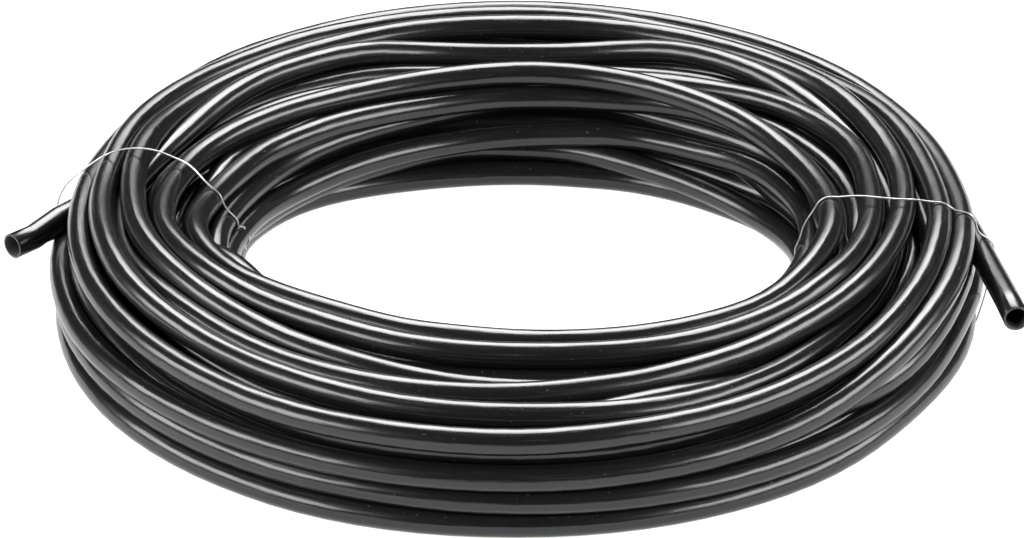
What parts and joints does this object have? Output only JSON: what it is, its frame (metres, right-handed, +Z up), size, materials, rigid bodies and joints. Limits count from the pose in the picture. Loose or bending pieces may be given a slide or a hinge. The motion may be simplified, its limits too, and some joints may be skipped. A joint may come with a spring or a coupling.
{
  "type": "coil of irrigation supply hose",
  "caption": "Flat coil of smooth black polyethylene hose for drip irrigation, tied with wire, with an open end cut square on each side.",
  "frame": {"origin": "on the floor, under the middle of the whole part's box; the coil's own axis stands 5 mm towards +X from it", "axes": "+Z up, along the coil's axis; +X from the free end on the left to the free end on the right; +Y away from the side that the two ends' cuts face"},
  "size_m": [0.5162, 0.4774, 0.0716],
  "materials": {
    "hose": "glossy black polyethylene",
    "tie_wire": "bare drawn wire"
  },
  "bodies": {
    "root": {"hose_coil": "hose", "buried_turns": "hose", "hose_end_right": "hose", "hose_end_left": "hose", "wire_tie_right": "tie_wire", "wire_tie_left": "tie_wire"}
  },
  "joints": []
}
